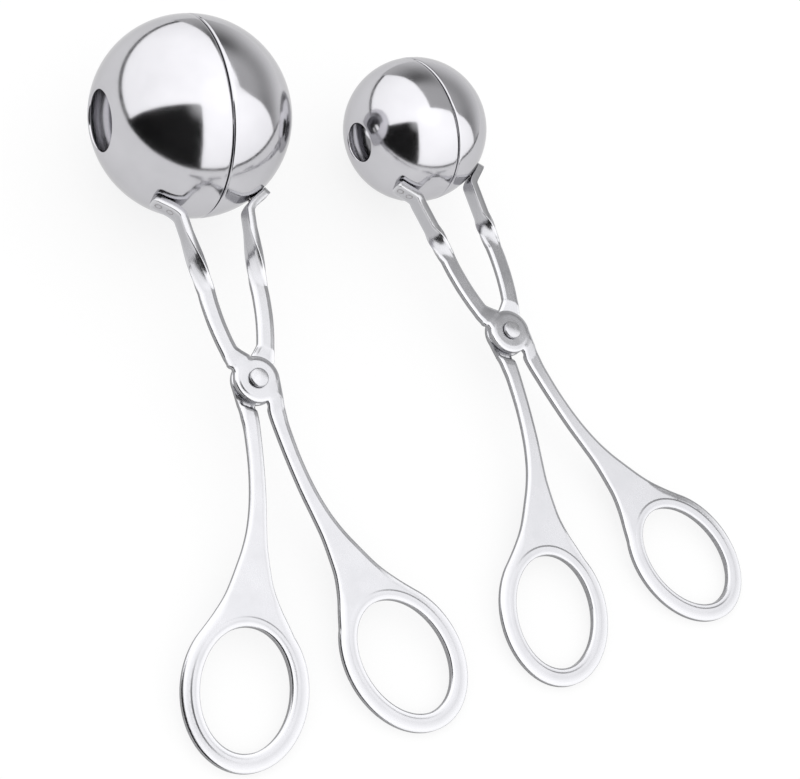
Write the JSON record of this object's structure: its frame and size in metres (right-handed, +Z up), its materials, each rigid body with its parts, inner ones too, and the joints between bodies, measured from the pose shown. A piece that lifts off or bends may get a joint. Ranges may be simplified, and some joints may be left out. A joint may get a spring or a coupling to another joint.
{
  "type": "meatball tongs",
  "caption": "Large and small scissor-action meatball tongs in polished steel: crossed levers with finger loops carry the halves of a hollow ball.",
  "frame": {"origin": "middle of the footprint of both pairs, on the table that they lie on", "axes": "+Y from the finger loops to the balls, +X from the large pair to the small one, +Z up from the table"},
  "size_m": [0.1624, 0.1816, 0.05],
  "materials": {
    "mirror_steel": "mirror-polished stainless steel sheet",
    "satin_steel": "bright satin stainless steel, pressed from sheet",
    "rivet_steel": "polished rivet head"
  },
  "bodies": {
    "large_upper": {"large_upper_lever": "satin_steel", "large_left_cup": "mirror_steel", "large_rivet": "rivet_steel"},
    "large_lower": {"large_lower_lever": "satin_steel", "large_right_cup": "mirror_steel"},
    "small_upper": {"small_upper_lever": "satin_steel", "small_left_cup": "mirror_steel", "small_rivet": "rivet_steel"},
    "small_lower": {"small_lower_lever": "satin_steel", "small_right_cup": "mirror_steel"}
  },
  "joints": [
    {"name": "large_hinge", "type": "hinge", "parent": "large_upper", "child": "large_lower", "pos_m": [-0.04471, -0.00227, 0.01454], "axis": [0, 0.1518, -0.9884], "range_deg": [0, 17]},
    {"name": "small_lift", "type": "slide", "parent": "large_upper", "child": "small_upper", "axis": [0, 0, 1], "range_m": [0, 0.08]},
    {"name": "small_hinge", "type": "hinge", "parent": "small_upper", "child": "small_lower", "pos_m": [0.03092, 0.00371, 0.01173], "axis": [-0.0202, 0.1194, -0.9926], "range_deg": [0, 9]}
  ]
}
